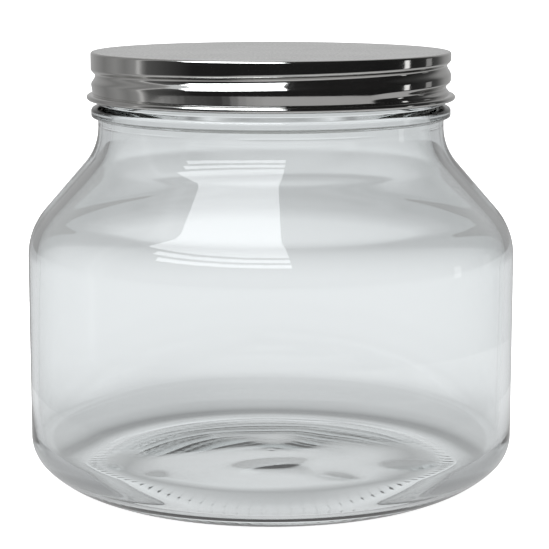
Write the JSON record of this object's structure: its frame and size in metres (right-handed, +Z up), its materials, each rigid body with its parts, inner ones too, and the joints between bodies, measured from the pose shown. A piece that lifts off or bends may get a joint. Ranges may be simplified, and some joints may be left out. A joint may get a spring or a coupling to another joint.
{
  "type": "disinfectant jar",
  "caption": "Squat wide-mouth clear glass jar with a polished metal screw lid and a sealing liner, for soaking salon tools in disinfectant.",
  "frame": {"origin": "centre of the bearing ring, on the plane the jar stands on", "axes": "+Z up along the jar's axis of revolution; +X and +Y are level, and the lid's thread groove crosses the +X side just under the top panel"},
  "size_m": [0.123, 0.123, 0.1093],
  "materials": {
    "clear_glass": "gloss",
    "polished_metal": "polished skirt, satin top",
    "liner_foam": "matte foamed film"
  },
  "bodies": {
    "jar": {"glass_jar": "clear_glass"},
    "liner": {"lid_liner": "liner_foam"},
    "lid": {"lid_shell": "polished_metal"}
  },
  "joints": [
    {"name": "lid_lift", "type": "slide", "parent": "jar", "child": "liner", "axis": [0, 0, 1], "range_m": [0, 0.01525]},
    {"name": "lid_turn", "type": "hinge", "parent": "liner", "child": "lid", "pos_m": [0, 0, 0.103], "axis": [0, 0, 1], "range_deg": [0, 1080]}
  ],
  "couplings": [
    {"joint": "lid_lift", "follows": "lid_turn", "m_per_rad": 0.00080851}
  ]
}
